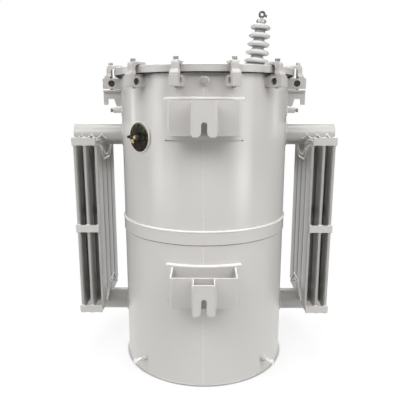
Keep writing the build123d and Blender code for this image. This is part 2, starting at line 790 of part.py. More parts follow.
with BuildPart() as hv_ring_screws:
    with BuildSketch(bushing_seat.offset(-seat_block)):
        with PolarLocations((ring_diameter + bushing_shank) / 4, ring_screws):
            Circle(ring_screw_diameter / 2)
    extrude(amount=-ring_drop - ring_thickness)
    with BuildSketch(bushing_seat.offset(ring_top - ring_thickness)):
        with PolarLocations((ring_diameter + bushing_shank) / 4, ring_screws):
            RegularPolygon(ring_screw_diameter * 0.8, 6, major_radius=False)
    extrude(amount=-ring_screw_diameter * 0.7)
keep(hv_ring_screws.part, "hv_ring_screws")

cap_bottom = base + porcelain_top
rod_top = cap_bottom + cap_height + eye_stem + 3
with BuildPart() as hv_rod:
    with BuildSketch(bushing_seat.offset(base - bushing_shank_depth - rod_tail)):
        Circle(rod_diameter / 2)
    extrude(amount=rod_top - base + bushing_shank_depth + rod_tail)
keep(hv_rod.part, "hv_rod")

with BuildPart() as hv_cap:
    with BuildSketch(bushing_seat.offset(cap_bottom)):
        Circle(cap_diameter / 2)
        Circle(rod_diameter / 2, mode=Mode.SUBTRACT)
    extrude(amount=cap_height)
    chamfer(hv_cap.faces().sort_by(Axis.Z)[-1].outer_wire().edges(), length=2)
keep(hv_cap.part, "hv_cap")

eye_middle = cap_bottom + cap_height + eye_stem + eye_diameter / 2
with BuildPart() as hv_eye:
    with BuildSketch(bushing_half):
        with Locations((0, eye_middle)):
            Circle(eye_diameter / 2)
            Circle(eye_bore / 2, mode=Mode.SUBTRACT)
    extrude(amount=eye_thickness / 2, both=True)
    chamfer(hv_eye.edges().filter_by(GeomType.CIRCLE), length=1.5)
    with BuildSketch(bushing_seat.offset(rod_top)):
        Circle(rod_diameter / 2)
    extrude(amount=-eye_diameter, mode=Mode.SUBTRACT)
    with BuildSketch(Plane(origin=bushing_half.from_local_coords((0, eye_middle - 4, 0)),
                           x_dir=bushing_half.y_dir, z_dir=bushing_seat.x_dir)):
        Circle(3.5)
    extrude(amount=eye_diameter, mode=Mode.SUBTRACT)
keep(hv_eye.part, "hv_eye")

screw_plane = Plane(origin=bushing_half.from_local_coords((0, eye_middle - 4, 0)),
                    x_dir=bushing_half.y_dir, z_dir=bushing_seat.x_dir)
with BuildPart() as hv_screw:
    with BuildSketch(screw_plane.offset(eye_bore / 2 + 0.5)):
        Circle(3.5)
    extrude(amount=(eye_diameter - eye_bore) / 2 + 1.5)
    with BuildSketch(screw_plane.offset(eye_diameter / 2 + 2)):
        RegularPolygon(5, 6, major_radius=False)
    extrude(amount=4.5)
keep(hv_screw.part, "hv_screw")


# Tap changer: collar through the wall, dial in the collar, switch behind it, turning grip
def port(reach):
    """Plane across the tap changer's axis at a distance from the tank's axis."""
    return outward(tap_bearing, tap_height, reach)


collar_face = tank_radius + collar_proud
dial_face = collar_face + dial_proud
dial_back = dial_face - dial_thickness
collar_back = dial_back - collar_wall
collar_bore = collar_diameter / 2 - collar_wall
with BuildPart() as tap_collar:
    with BuildSketch(port(collar_back)):
        Circle(collar_diameter / 2)
        Circle(collar_bore - 2 * collar_wall, mode=Mode.SUBTRACT)
    extrude(amount=collar_face - collar_back)
    with BuildSketch(port(dial_back)):
        Circle(collar_bore)
    extrude(amount=collar_face - dial_back, mode=Mode.SUBTRACT)
keep(tap_collar.part, "tap_collar")

with BuildPart() as tap_dial:
    with BuildSketch(port(dial_back)):
        Circle(collar_bore - dial_clearance)
    extrude(amount=dial_thickness)
    fillet(tap_dial.edges().filter_by(
        lambda e: port(0).to_local_coords(e.center()).Z > dial_face - 0.1), radius=dial_fillet)
    with BuildSketch(port(dial_back)):
        Circle(spindle_diameter / 2 + spindle_clearance)
    extrude(amount=dial_thickness, mode=Mode.SUBTRACT)
keep(tap_dial.part, "tap_dial")

with BuildPart() as tap_switch:
    with BuildSketch(port(dial_back)):
        Circle(switch_diameter / 2)
    extrude(amount=-switch_depth)
    with BuildSketch(port(dial_back)):
        Circle(spindle_diameter / 2 + spindle_clearance)
    extrude(amount=-switch_depth / 2 - grip_gap, mode=Mode.SUBTRACT)
keep(tap_switch.part, "tap_switch")

grip_bottom = dial_face + grip_gap
grip_top = grip_bottom + grip_height
with BuildPart() as tap_grip:
    with BuildSketch(port(grip_bottom)):
        SlotOverall(grip_length, grip_width)
        Circle(grip_hub / 2)
    extrude(amount=grip_height)
    fillet(tap_grip.edges().filter_by(
        lambda e: port(0).to_local_coords(e.center()).Z > grip_top - 0.1), radius=grip_edge)
    with BuildSketch(port(grip_bottom)):
        Circle(spindle_diameter / 2)
        with Locations((-lock_offset, 0)):
            Circle(lock_screw / 2)
    extrude(amount=grip_height, mode=Mode.SUBTRACT)
keep(tap_grip.part, "tap_grip")

with BuildPart() as tap_spindle:
    with BuildSketch(port(dial_back - switch_depth / 2)):
        Circle(spindle_diameter / 2)
    extrude(amount=grip_top + tap_nut_height + 3 - dial_back + switch_depth / 2)
keep(tap_spindle.part, "tap_spindle")

with BuildPart() as tap_nut:
    with BuildSketch(port(grip_top)):
        RegularPolygon(tap_nut_flats / 2, 6, major_radius=False)
        Circle(spindle_diameter / 2, mode=Mode.SUBTRACT)
    extrude(amount=tap_nut_height)
keep(tap_nut.part, "tap_nut")

with BuildPart() as tap_lock_screw:
    with BuildSketch(port(grip_bottom)):
        with Locations((-lock_offset, 0)):
            Circle(lock_screw / 2)
    extrude(amount=grip_height + lock_screw_height)
keep(tap_lock_screw.part, "tap_lock_screw")

with BuildPart() as tap_lock_knob:
    with BuildSketch(port(grip_top + lock_screw_height)):
        with Locations((-lock_offset, 0)):
            Circle(lock_knob / 2)
    extrude(amount=lock_knob_height)
    fillet(tap_lock_knob.edges().filter_by(
        lambda e: port(0).to_local_coords(e.center()).Z > grip_top + lock_screw_height + 1),
        radius=lock_knob_edge)
keep(tap_lock_knob.part, "tap_lock_knob")


# Low-voltage bushings on the side away from the pole
def lv_profile(bearing):
    """Level plane at the bushings' height, its Y axis pointing outward at a bearing."""
    return Plane(origin=(0, 0, lv_height), x_dir=outward(bearing, 0).x_dir, z_dir=(0, 0, -1))


lv_top = tank_radius + lv_reach
lv_seat = tank_radius + lv_flange
with BuildPart() as lv_bushings:
    for bearing in lv_bearings:
        with BuildSketch(lv_profile(bearing)):
            with BuildLine():
                neck, shed = lv_neck / 2, lv_shed / 2
                Polyline((0, tank_bore), (lv_body / 2, tank_bore), (lv_body / 2, lv_seat - 3),
                         (lv_body / 2 - 3, lv_seat), (neck, lv_seat + 2),
                         (neck, lv_seat + lv_shed_gap - 3), (shed - 2, lv_seat + lv_shed_gap - 2))
                ThreePointArc((shed - 2, lv_seat + lv_shed_gap - 2), (shed, lv_seat + lv_shed_gap),
                              (shed - 2, lv_seat + lv_shed_gap + 2))
                Polyline((shed - 2, lv_seat + lv_shed_gap + 2), (neck, lv_seat + lv_shed_gap + 6),
                         (neck - 2, lv_top), (0, lv_top), (0, tank_bore))
            make_face()
        revolve(axis=Axis((0, 0, lv_height), outward(bearing, 0).z_dir))
    with Locations((0, 0, lv_height)):
        Cylinder(tank_radius, 2 * lv_body, mode=Mode.SUBTRACT)
    for bearing in lv_bearings:
        with BuildSketch(outward(bearing, lv_height, tank_radius - lv_inside)):
            Circle(lv_neck / 2)
        extrude(amount=lv_inside + lv_flange)
        with BuildSketch(outward(bearing, lv_height, tank_radius - lv_inside)):
            Circle(lv_stud / 2)
        extrude(amount=lv_inside + lv_reach, mode=Mode.SUBTRACT)
keep(lv_bushings.part, "lv_bushings")

stud_start = tank_radius - lv_inside - lv_stud_inside
spade_start = lv_top + lv_nut_height + spade_gap
spade_end = spade_start + spade_length
with BuildPart() as lv_spades:
    for bearing in lv_bearings:
        with BuildSketch(outward(bearing, lv_height, stud_start)):
            Circle(lv_stud / 2)
        extrude(amount=spade_start + spade_corner - stud_start)
        with BuildSketch(Plane(origin=(0, 0, lv_height), x_dir=outward(bearing, 0).z_dir,
                               z_dir=outward(bearing, 0).x_dir)):
            with Locations((spade_end - spade_length / 2, 0)):
                RectangleRounded(spade_length, spade_width, spade_corner)
            with Locations((spade_end - spade_end_distance, 0)):
                with GridLocations(spade_pitch, spade_pitch, 2, 2):
                    Circle(spade_holes / 2, mode=Mode.SUBTRACT)
        extrude(amount=spade_thickness / 2, both=True)
keep(lv_spades.part, "lv_spades")

with BuildPart() as lv_nuts:
    for bearing in lv_bearings:
        with BuildSketch(outward(bearing, lv_height, lv_top)):
            RegularPolygon(lv_nut_flats / 2, 6, major_radius=False)
            Circle(lv_stud / 2, mode=Mode.SUBTRACT)
        extrude(amount=lv_nut_height)
keep(lv_nuts.part, "lv_nuts")


# Core and coils, standing on the base in a welded frame
core_bottom = base_thickness + frame_leg + frame_plate
core_depth = window_y - 2 * coil_gap
loop_window = lv_coil_build + coil_barrier + hv_coil_build + 2 * coil_gap
leg_start = window_x / 2 - coil_gap - core_build
core_end = leg_start + 2 * core_build + loop_window
core_top = core_bottom + coil_height + core_slack + 2 * core_build
with BuildPart() as core:
    for side in sides.values():
        with BuildSketch(Plane.XZ):
            with Locations((side * (leg_start + core_end) / 2, (core_bottom + core_top) / 2)):
                RectangleRounded(core_end - leg_start, core_top - core_bottom, core_corner)
                Rectangle(loop_window, coil_height + core_slack, mode=Mode.SUBTRACT)
        extrude(amount=core_depth / 2, both=True)
keep(core.part, "core")

coil_bottom = core_bottom + core_build
coil_rows = {"lv_coil": (0, lv_coil_build),
             "hv_coil": (lv_coil_build + coil_barrier, hv_coil_build)}
for name, (inset, build) in coil_rows.items():
    with BuildPart() as coil:
        with BuildSketch(Plane.XY.offset(coil_bottom)):
            RectangleRounded(window_x + 2 * (inset + build), window_y + 2 * (inset + build),
                             inset + build)
            RectangleRounded(window_x + 2 * inset, window_y + 2 * inset, max(inset, coil_gap),
                             mode=Mode.SUBTRACT)
        extrude(amount=coil_height)
    keep(coil.part, name)

frame_x = 2 * (core_end + frame_beyond)
frame_y = core_depth + 2 * frame_beyond
with BuildPart() as core_frame:
    for height in (core_bottom - frame_plate, core_top):
        with BuildSketch(Plane.XY.offset(height)):
            Rectangle(frame_x, frame_y)
        extrude(amount=frame_plate)
    with BuildSketch(Plane.XY.offset(core_bottom)):
        with GridLocations(frame_x - frame_rod, frame_y - frame_rod, 2, 2):
            Circle(frame_rod / 2)
    extrude(amount=core_top - core_bottom)
    with BuildSketch(Plane.XY.offset(base_thickness)):
        with GridLocations(0, frame_y - frame_plate, 1, 2):
            Rectangle(frame_x, frame_plate)
    extrude(amount=frame_leg)
keep(core_frame.part, "core_frame")


# Leads from the coils to the rod, the studs and the switch
def lead(points):
    """Round lead along straight runs joined by arcs."""
    with BuildPart(mode=Mode.PRIVATE) as wire:
        with BuildLine() as path:
            FilletPolyline(*points, radius=lead_bend)
        with BuildSketch(Plane(origin=path.line @ 0, z_dir=path.line % 0)):
            Circle(lead_diameter / 2)
        sweep()
    return wire.part


coil_top = coil_bottom + coil_height
hv_side = window_y / 2 + lv_coil_build + coil_barrier + hv_coil_build / 2
lv_side = window_y / 2 + lv_coil_build / 2
rod_bottom = base - bushing_shank_depth - rod_tail
rod_end = bushing_seat.from_local_coords((0, 0, rod_bottom))
rod_run = bushing_seat.from_local_coords((0, 0, rod_bottom - lead_straight))
switch_end = port(dial_back - switch_depth).origin
lead_runs = [[(lead_start, hv_side, coil_top), (lead_start, hv_side, tank_height - hv_lead_drop),
              tuple(rod_run), tuple(rod_end)],
             [(-lead_start, -hv_side, coil_top), (-lead_start, -hv_side, tap_height - lead_straight),
              (switch_end.X * 0.7, switch_end.Y * 0.7, tap_height), tuple(switch_end)]]
for bearing in lv_bearings:
    x = -lv_side * tan(radians(bearing))
    stud_end = outward(bearing, lv_height, stud_start).origin
    lead_runs.append([(x, lv_side, coil_top), (x, lv_side, lv_height), tuple(stud_end)])
winding_leads = Compound(children=[lead(points).solid() for points in lead_runs])
keep(winding_leads, "winding_leads")
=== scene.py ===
"""Looks of a pole-mounted distribution transformer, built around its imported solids.

Metres, +Z up, the pole brackets face -Y and the base stands on Z = 0. A "bearing" is an angle
in degrees about the tank's axis, from -Y towards +X, and a "reach" is a distance from that axis.
"""
from itertools import product

import bpy
import numpy as np
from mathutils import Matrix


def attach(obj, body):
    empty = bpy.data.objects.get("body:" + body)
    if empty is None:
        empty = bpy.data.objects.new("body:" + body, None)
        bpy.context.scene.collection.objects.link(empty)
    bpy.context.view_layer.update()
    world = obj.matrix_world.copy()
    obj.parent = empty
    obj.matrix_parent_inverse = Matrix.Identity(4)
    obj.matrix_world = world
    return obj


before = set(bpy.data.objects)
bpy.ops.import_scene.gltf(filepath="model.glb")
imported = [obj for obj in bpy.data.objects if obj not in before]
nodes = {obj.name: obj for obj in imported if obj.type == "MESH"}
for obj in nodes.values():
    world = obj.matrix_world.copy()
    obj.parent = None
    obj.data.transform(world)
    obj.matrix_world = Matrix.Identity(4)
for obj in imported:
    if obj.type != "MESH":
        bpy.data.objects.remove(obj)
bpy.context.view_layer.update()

# Paper sweep: matt studio paper, white to the camera and in reflections, with a faint shadow, and a
# thin dark line at the tank's foot that is painted shadow, where the paper's glow is turned down.
# Diffuse light finds it pale close to the tank and grey further out, so it lifts the lower wall and
# leaves undersides in shade.
paper_white = "#ffffff"
paper_catch = "#9c9c9c"                        # takes the shadow
paper_near, paper_far = "#b0b0b0", "#606060"   # what diffuse light finds
tank_reach = 0.337                             # outside of the tank's wall
shadow_line_width = 0.012                             # of the painted shadow line round it
# the paper's glow: none right at the tank's foot, which paints a shadow line there, and even beyond
shadow_line_glow, near_glow = 0.0, 0.64
fade_start, fade_end = 0.55, 1.3               # the shadow dies out between these reaches
floor_half = 6.0


def linear(code):
    """Linear red, green, blue and alpha of an sRGB hex colour: the sRGB curve, undone."""
    values = np.array([int(code[i:i + 2], 16) for i in (1, 3, 5)]) / 255
    curve = np.where(values <= 0.04045, values / 12.92, ((values + 0.055) / 1.055) ** 2.4)
    return (*curve, 1.0)


def add_node(tree, kind, settings=None, **links):
    """Add a shader node, set its properties, then link or set inputs, by name or as i and number.

    In a colour mix, input 0 is the share, 6 and 7 are the colours, and output 2 is the result.
    """
    node = tree.nodes.new(kind)
    for name, value in (settings or {}).items():
        setattr(node, name, value)
    for name, value in links.items():
        socket = node.inputs[int(name[1:]) if name[1:].isdigit() else name.replace("_", " ")]
        if isinstance(value, bpy.types.NodeSocket):
            tree.links.new(value, socket)
        else:
            socket.default_value = value
    return node


paper = bpy.data.materials.new("matt paper sweep")
paper.use_nodes = True
tree = paper.node_tree
tree.nodes.clear()
rays = add_node(tree, "ShaderNodeLightPath")
seen = add_node(tree, "ShaderNodeMath", {"operation": "MAXIMUM"}, i0=rays.outputs["Is Camera Ray"],
                i1=rays.outputs["Is Glossy Ray"])
seen = add_node(tree, "ShaderNodeMath", {"operation": "MAXIMUM"}, i0=seen.outputs[0],
                i1=rays.outputs["Is Transmission Ray"])
place = add_node(tree, "ShaderNodeTexCoord").outputs["Object"]
distance = add_node(tree, "ShaderNodeVectorMath", {"operation": "LENGTH"}, i0=place)
fade = add_node(tree, "ShaderNodeMapRange", {"interpolation_type": "SMOOTHSTEP"},
                Value=distance.outputs["Value"], From_Min=fade_start, From_Max=fade_end)
# Painted shadow: the glow falls away right at the tank's foot and draws a dark line there.
foot = add_node(tree, "ShaderNodeMapRange", {"interpolation_type": "SMOOTHSTEP"},
                Value=distance.outputs["Value"], From_Min=tank_reach,
                From_Max=tank_reach + shadow_line_width, To_Min=shadow_line_glow, To_Max=near_glow)
catch = add_node(tree, "ShaderNodeBsdfDiffuse", Color=linear(paper_catch))
lift = add_node(tree, "ShaderNodeEmission", Color=linear(paper_white), Strength=foot.outputs[0])
near = add_node(tree, "ShaderNodeAddShader", i0=catch.outputs[0], i1=lift.outputs[0])
far = add_node(tree, "ShaderNodeEmission", Color=linear(paper_white), Strength=1.0)
bright = add_node(tree, "ShaderNodeMixShader", i0=fade.outputs[0], i1=near.outputs[0],
                  i2=far.outputs[0])
sheet = add_node(tree, "ShaderNodeMix", {"data_type": "RGBA"}, i0=fade.outputs[0],
                 i6=linear(paper_near), i7=linear(paper_far))
dull = add_node(tree, "ShaderNodeBsdfDiffuse", Color=sheet.outputs[2])
mixed = add_node(tree, "ShaderNodeMixShader", i0=seen.outputs[0], i1=dull.outputs[0],
                 i2=bright.outputs[0])
add_node(tree, "ShaderNodeOutputMaterial", Surface=mixed.outputs[0])

floor_mesh = bpy.data.meshes.new("floor")
corners = [(-floor_half, -floor_half, 0), (floor_half, -floor_half, 0),
           (floor_half, floor_half, 0), (-floor_half, floor_half, 0)]
floor_mesh.from_pydata(corners, [], [(0, 1, 2, 3)])
floor_mesh.materials.append(paper)
floor = bpy.data.objects.new("floor", floor_mesh)
bpy.context.scene.collection.objects.link(floor)

# Room: a plain white room, full white behind the object and only a faint fill on it, so that the
# lamps alone shape the light.
fill_light = 0.04

world = bpy.data.worlds.new("white room")
world.use_nodes = True
tree = world.node_tree
tree.nodes.clear()
rays = add_node(tree, "ShaderNodeLightPath")
ambient = add_node(tree, "ShaderNodeBackground", Color=linear(paper_white), Strength=fill_light)
backdrop = add_node(tree, "ShaderNodeBackground", Color=linear(paper_white), Strength=1.0)
mixed = add_node(tree, "ShaderNodeMixShader", i0=rays.outputs["Is Camera Ray"],
                 i1=ambient.outputs[0], i2=backdrop.outputs[0])
add_node(tree, "ShaderNodeOutputWorld", Surface=mixed.outputs[0])
bpy.context.scene.world = world

# Lamps: large soft boxes. A high pair in front throws the soft shadows under brackets and clamps,
# one straight above whitens the edges that face up, and one stands over the lid. Tall ones beside
# the tank draw the upright streaks, a narrow low pair lifts the base, and a pair lights the back.
lamp_rows = (
    # name, place, target, width, height, spread in degrees, watts
    ("lamp_key_left", (-1.5, -2.2, 2.7), (0, 0, 0.7), 2.2, 1.4, 180, 43.0),
    ("lamp_key_right", (1.5, -2.2, 2.7), (0, 0, 0.7), 2.2, 1.4, 180, 40.0),
    ("lamp_above", (0.0, -0.55, 3.9), (0, -0.55, 1.0), 2.2, 0.9, 180, 58.0),
    ("lamp_lid", (0.0, 0.9, 3.3), (0, 0.9, 1.0), 2.0, 1.4, 180, 16.0),
    ("lamp_left", (-2.65, -1.41, 1.2), (0, 0, 0.8), 0.9, 2.2, 180, 26.0),
    ("lamp_right", (2.4, -1.8, 1.2), (0, 0, 0.8), 0.9, 2.2, 180, 28.0),
    ("lamp_rim_left", (-2.9, 0.88, 1.4), (0, 0, 0.8), 0.3, 2.0, 180, 12.0),
    ("lamp_rim_right", (2.9, 0.9, 1.4), (0, 0, 0.8), 0.3, 2.0, 180, 8.0),
    ("lamp_low_left", (-2.2, -2.0, 0.4), (0, 0, 0.15), 1.2, 0.5, 60, 1.0),
    ("lamp_low_right", (2.2, -2.0, 0.4), (0, 0, 0.15), 1.2, 0.5, 60, 1.1),
    ("lamp_back_left", (-0.7, 2.9, 2.4), (0, 0, 0.7), 1.6, 1.4, 180, 46.0),
    ("lamp_back_right", (0.7, 2.9, 2.4), (0, 0, 0.7), 1.6, 1.4, 180, 42.0))

for name, place, target, width, height, spread, power in lamp_rows:
    light = bpy.data.lights.new(name, "AREA")
    light.shape = "RECTANGLE"
    light.size = width
    light.size_y = height
    light.spread = np.radians(spread)
    light.energy = power
    lamp = bpy.data.objects.new(name, light)
    aim = np.array(target) - np.array(place)
    lamp.location = place
    lamp.rotation_euler = (np.arctan2(np.hypot(aim[0], aim[1]), -aim[2]), 0,
                           np.arctan2(-aim[0], aim[1]))
    bpy.context.scene.collection.objects.link(lamp)

# Camera: an ordinary lens two metres from the tank's axis, as high as the upper bracket and looking
# down, as the curves of the base, the band and the lid run in the photograph.
camera_place = (0.0, -1.977, 1.083)
camera_pitch, camera_yaw = 11.75, 0.50     # degrees down and to the left
camera_lens, camera_film = 42.06, 36.0     # millimetres

camera = bpy.data.objects.new("camera", bpy.data.cameras.new("camera"))
camera.data.lens = camera_lens
camera.data.sensor_width = camera_film
camera.location = camera_place
camera.rotation_euler = (np.radians(90 - camera_pitch), 0, np.radians(camera_yaw))
bpy.context.scene.collection.objects.link(camera)
bpy.context.scene.camera = camera
bpy.context.scene.view_settings.view_transform = "Standard"

# Tank: sheet steel, rolled and welded, with a base plate, a rim flange and a girth band, blasted
# and sprayed with a light warm-grey enamel. The coat shows a fine orange peel, a slow drift in
# tone and a satin gloss, and the edges that it rounds catch the light.
enamel_deep, enamel_pale = "#cecbc8", "#d2d0cd"
peel_size = 0.006        # real orange peel is about a third of this, too fine to show
drift_size = 0.25        # about the width of a pass with the spray gun
edge_break = 0.0016
gloss_drift = 0.01
sheet_peel = 0.00005


def enamel(name, deep, pale, peel_height, roughness):
    """Satin sprayed enamel: tone and gloss drift with slow noise, and fine noise gives the peel."""
    material = bpy.data.materials.new(name)
    material.use_nodes = True
    tree = material.node_tree
    tree.nodes.clear()
    place = add_node(tree, "ShaderNodeTexCoord").outputs["Object"]
    drift = add_node(tree, "ShaderNodeTexNoise", Vector=place, Scale=1 / drift_size, Detail=4.0)
    tone = add_node(tree, "ShaderNodeMix", {"data_type": "RGBA"}, i0=drift.outputs["Fac"],
                    i6=linear(deep), i7=linear(pale))
    peel = add_node(tree, "ShaderNodeTexNoise", Vector=place, Scale=1 / peel_size, Detail=2.0)
    edges = add_node(tree, "ShaderNodeBevel", {"samples": 4}, Radius=edge_break)
    bump = add_node(tree, "ShaderNodeBump", Height=peel.outputs["Fac"], Strength=1.0,
                    Distance=peel_height, Normal=edges.outputs[0])
    gloss = add_node(tree, "ShaderNodeMapRange", Value=drift.outputs["Fac"],
                     To_Min=roughness - gloss_drift, To_Max=roughness + gloss_drift)
    shader = add_node(tree, "ShaderNodeBsdfPrincipled", Base_Color=tone.outputs[2],
                      Roughness=gloss.outputs[0], IOR=1.5, Normal=bump.outputs[0])
    add_node(tree, "ShaderNodeOutputMaterial", Surface=shader.outputs[0])
    return material


def dress(material, names):
    """Give CAD nodes their finish."""
    for name in names:
        nodes[name].data.materials.clear()
        nodes[name].data.materials.append(material)


tank_enamel = enamel("sprayed satin enamel on sheet", enamel_deep, enamel_pale, sheet_peel,
                     roughness=0.26)
dress(tank_enamel, ["tank_shell", "tank_base", "tank_flange", "tank_band"])

# Tank welds: a bead laid by machine round the base, and one laid by hand up the wall's seam. Both
# ripple softly; the seam's bead is painted a shade paler than the tank, a painted highlight that
# draws it as a thin light line.
weld_step = 0.002            # between two rings of a bead
weld_sides = 8               # of each ring
weld_ripple = 0.007          # the real ripple is about 2 mm, too fine to show
weld_rise = 0.0003           # of the ripple, above and below the bead's own radius
slow_share, slow_turn, slow_start = 0.7, 1.6, 1.0    # a slower swell, in radians a ripple
tip_share = 0.02             # keeps a bead's very tip from closing to a point
least_rings = 6
blur = 2                     # steps to either side over which a run's corners are rounded
tiny = 1e-12                 # keeps what is divided by above nought
proud, slight = 0.001, 0.0005    # how far a bead's middle stands off the face that it lies on
hoop_points, run_points = 720, 60
base_weld_height = 0.0035
seam_bearing, seam_sunk = -0.4, 0.0009
# the stretches of the seam that the brackets' pads and the band leave bare
seam_levels = ((0.008, 0.346), (0.4925, 0.570), (0.624, 0.952), (1.0985, 1.138))


def laid(points, closed):
    """Points at even steps along a run, its corners rounded by a short moving average."""
    path = np.vstack((points, points[:1])) if closed else np.asarray(points, float)
    along = np.insert(np.cumsum(np.linalg.norm(np.diff(path, axis=0), axis=1)), 0, 0)
    count = max(least_rings, int(along[-1] / weld_step))
    marks = np.linspace(0, along[-1], count, endpoint=not closed)
    path = np.column_stack([np.interp(marks, along, path[:, axis]) for axis in range(3)])
    padded = np.pad(path, ((blur, blur), (0, 0)), mode="wrap" if closed else "edge")
    window = 2 * blur + 1
    path = sum(padded[shift:shift + count] for shift in range(window)) / window
    return path, marks, along[-1]


def weld(name, runs, radius, material=tank_enamel):
    """Beads along several runs, each run points and whether it closes, as one painted mesh.

    A ring stands square to the run at each step: the run's point, plus the radius times a cosine
    along the plane that the run lies in and a sine square to that plane. The radius rises and
    falls by a sine once a ripple and by a weaker, slower one, and at an open end it shrinks with
    the square root of the way left, so that the bead ends round.
    """
    rings, faces, start = [], [], 0
    for points, closed in runs:
        path, marks, length = laid(points, closed)
        ahead = np.roll(path, -1, 0) - np.roll(path, 1, 0)
        if not closed:
            ahead[0], ahead[-1] = path[1] - path[0], path[-1] - path[-2]
        ahead /= np.linalg.norm(ahead, axis=1)[:, None] + tiny
        normal = np.linalg.svd(path - path.mean(0), full_matrices=False)[2][-1]
        side = np.cross(ahead, normal)
        side /= np.linalg.norm(side, axis=1)[:, None] + tiny
        lift = np.cross(side, ahead)
        swell = 1 + weld_rise / radius * (
            np.sin(marks / weld_ripple * 2 * np.pi)
            + slow_share * np.sin(marks / weld_ripple * slow_turn + slow_start))
        if not closed:
            way_left = np.minimum(marks, length - marks)
            swell *= np.sqrt(np.clip(way_left / radius, tip_share, 1))
        turn = np.linspace(0, 2 * np.pi, weld_sides, endpoint=False)
        ring = (np.cos(turn)[None, :, None] * side[:, None] + np.sin(turn)[None, :, None]
                * lift[:, None]) * (radius * swell)[:, None, None] + path[:, None]
        rings.append(ring.reshape(-1, 3))
        count = len(path)
        row = np.arange(count if closed else count - 1)[:, None]
        col = np.arange(weld_sides)[None, :]
        after, right = (row + 1) % count, (col + 1) % weld_sides
        quads = np.stack((row * weld_sides + col, after * weld_sides + col,
                          after * weld_sides + right, row * weld_sides + right), -1) + start
        faces += quads.reshape(-1, 4).tolist()
        if not closed:
            faces.append(list(range(start, start + weld_sides)))
            faces.append(list(range(start + count * weld_sides - 1,
                                    start + (count - 1) * weld_sides - 1, -1)))
        start += count * weld_sides
    mesh = bpy.data.meshes.new(name)
    mesh.from_pydata(np.vstack(rings).tolist(), [], faces)
    mesh.polygons.foreach_set("use_smooth", np.ones(len(faces), bool))
    mesh.materials.append(material)
    piece = bpy.data.objects.new(name, mesh)
    bpy.context.scene.collection.objects.link(piece)
    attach(piece, "transformer")


def on_tank(bearing, height, reach):
    """Points at bearings and heights: reach times sine and minus cosine of the bearing, height."""
    angle = np.radians(bearing + np.zeros_like(height, dtype=float))
    return np.column_stack((reach * np.sin(angle), -reach * np.cos(angle),
                            height + np.zeros_like(angle)))


def hoop(height, reach):
    """A closed run round the tank at one height."""
    return on_tank(np.linspace(0, 360, hoop_points, endpoint=False),
                   np.full(hoop_points, height), reach), True


weld("weld_base", [hoop(base_weld_height, tank_reach + slight)], radius=0.0025)
# Painted highlight: the seam's bead is drawn paler than the tank's enamel.
seam_highlight_enamel = enamel("enamel over the seam, paler as a painted highlight", "#dddbd8", "#e2e0dd", sheet_peel, roughness=0.28)
seam_runs = [(on_tank(seam_bearing, np.linspace(low, high, run_points), tank_reach - seam_sunk),
              False) for low, high in seam_levels]
weld("weld_seam", seam_runs, radius=0.0012, material=seam_highlight_enamel)

# Girth band: a strip round the tank whose ends meet at the front. Its top edge is welded all round,
# and the bead is drawn paler than the tank, a painted highlight that reads as a white line. Its
# lower edge is left open, and under it a thin dark line is painted shadow.
band_low, band_high, band_reach = 0.572, 0.622, 0.3405
band_bead_out = 0.0015                      # from the wall to the middle of the paler bead
joint_drop, joint_out = 0.0015, 0.0002   # from the lower edge and the wall to the painted shadow line
band_end_sunk, band_end_points = 0.0018, 20
mottle = 0.08                            # how far a plain finish's roughness wanders


def plain(name, colour, metallic, roughness, grain_size, grain_height):
    """A plain finish: one colour, mottled in roughness and pitted by one noise.

    The grain is drawn a few millimetres wide, where the real one is too fine to show.
    """
    material = bpy.data.materials.new(name)
    material.use_nodes = True
    tree = material.node_tree
    tree.nodes.clear()
    place = add_node(tree, "ShaderNodeTexCoord").outputs["Object"]
    grain = add_node(tree, "ShaderNodeTexNoise", Vector=place, Scale=1 / grain_size, Detail=3.0)
    bump = add_node(tree, "ShaderNodeBump", Height=grain.outputs["Fac"], Distance=grain_height)
    gloss = add_node(tree, "ShaderNodeMapRange", Value=grain.outputs["Fac"],
                     To_Min=roughness - mottle, To_Max=roughness + mottle)
    shader = add_node(tree, "ShaderNodeBsdfPrincipled", Base_Color=linear(colour),
                      Metallic=metallic, Roughness=gloss.outputs[0], Normal=bump.outputs[0])
    add_node(tree, "ShaderNodeOutputMaterial", Surface=shader.outputs[0])
    return material


# Painted shadow: a dark grey for the thin lines of shade under the band's open edge and at the
# pads' feet.
shadow_grey = plain("dark grey, a painted shadow in open joints", "#6e6c69", metallic=0.0, roughness=0.8,
                    grain_size=0.002, grain_height=0.0002)
# Painted highlight: welds that should read as white lines are drawn in this enamel, paler than the
# tank's.
highlight_enamel = enamel("paler enamel on welds, a painted highlight", "#eceae7", "#f2f0ee", sheet_peel,
                       roughness=0.3)
weld("band_joint", [hoop(band_low - joint_drop, tank_reach + joint_out)], radius=0.0014,
     material=shadow_grey)
weld("weld_band", [hoop(band_high, tank_reach + band_bead_out)], radius=0.0042,
     material=highlight_enamel)
weld("weld_band_ends", [(on_tank(0, np.linspace(band_low, band_high, band_end_points),
                                 band_reach - band_end_sunk), False)], radius=0.0025)

# Pole brackets: two of them, each a curved pad plate, a folded plate and a folded hook with an open
# slot, cut from plate. Faces that look up are painted near white, a painted highlight, which draws
# the outline of their top edges in white.
highlight_white = "#f4f2f0"
highlight_turn = (0.5, 0.9)     # how far up a face looks, from none of the painted highlight to all of it


def facing_up(tree, start, end):
    """How far a face looks up: the normal's Z, from 0 at start to 1 at end in a smooth step."""
    upward = add_node(tree, "ShaderNodeSeparateXYZ",
                      i0=add_node(tree, "ShaderNodeNewGeometry").outputs["Normal"])
    return add_node(tree, "ShaderNodeMapRange", {"interpolation_type": "SMOOTHSTEP"},
                    Value=upward.outputs["Z"], From_Min=start, From_Max=end).outputs[0]


def tint(material, colour):
    """Lay a worked-out colour over a finish in place of its own."""
    shader = material.node_tree.nodes["Principled BSDF"]
    material.node_tree.links.new(colour, shader.inputs["Base Color"])


